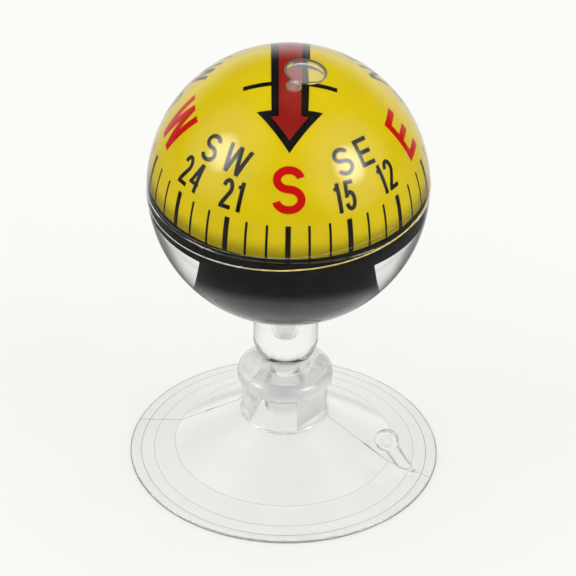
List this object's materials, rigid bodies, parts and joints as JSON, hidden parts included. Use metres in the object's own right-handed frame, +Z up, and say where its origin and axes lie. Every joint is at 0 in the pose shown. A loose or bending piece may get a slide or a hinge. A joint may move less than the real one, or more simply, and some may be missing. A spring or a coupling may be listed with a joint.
{
  "type": "car dashboard compass",
  "caption": "Liquid-filled clear ball with a floating yellow heading dial, on a short stem that swivels in a clear suction cup.",
  "frame": {"origin": "the middle of the suction cup's lip, on the surface that it grips", "axes": "+Z up along the stem's swivel axis through the ball's centre; -Y is the side that the picture shows, with the south mark of the dial"},
  "size_m": [0.035, 0.035, 0.0523],
  "materials": {
    "clear_soft_pvc": "clear, soft, glossy",
    "clear_plastic": "clear, polished",
    "clear_liquid": "clear liquid",
    "black_plastic": "semi-gloss",
    "ballast_steel": "turned",
    "ferrite": "sintered, matt",
    "yellow_plastic": "glossy, printed"
  },
  "bodies": {
    "base": {"suction_cup": "clear_soft_pvc"},
    "housing": {"stem": "clear_plastic", "filler_plug": "clear_plastic", "lower_shell": "clear_plastic", "upper_shell": "clear_plastic"},
    "liquid": {"damping_fluid": "clear_liquid"},
    "float": {"float_base": "black_plastic", "ballast": "ballast_steel"},
    "dial": {"dial_dome": "yellow_plastic", "magnet": "ferrite"}
  },
  "joints": [
    {"name": "stem_swivel", "type": "hinge", "parent": "base", "child": "housing", "pos_m": [0, 0, 0.0085], "axis": [0, 0, 1], "continuous": true},
    {"name": "float_roll", "type": "hinge", "parent": "housing", "child": "liquid", "pos_m": [0, 0, 0.0366], "axis": [0, 1, 0], "continuous": true},
    {"name": "float_pitch", "type": "hinge", "parent": "liquid", "child": "float", "pos_m": [0, 0, 0.0366], "axis": [1, 0, 0], "range_deg": [-90, 90]},
    {"name": "dial_heading", "type": "hinge", "parent": "float", "child": "dial", "pos_m": [0, 0, 0.0366], "axis": [0, 0, 1], "continuous": true}
  ]
}
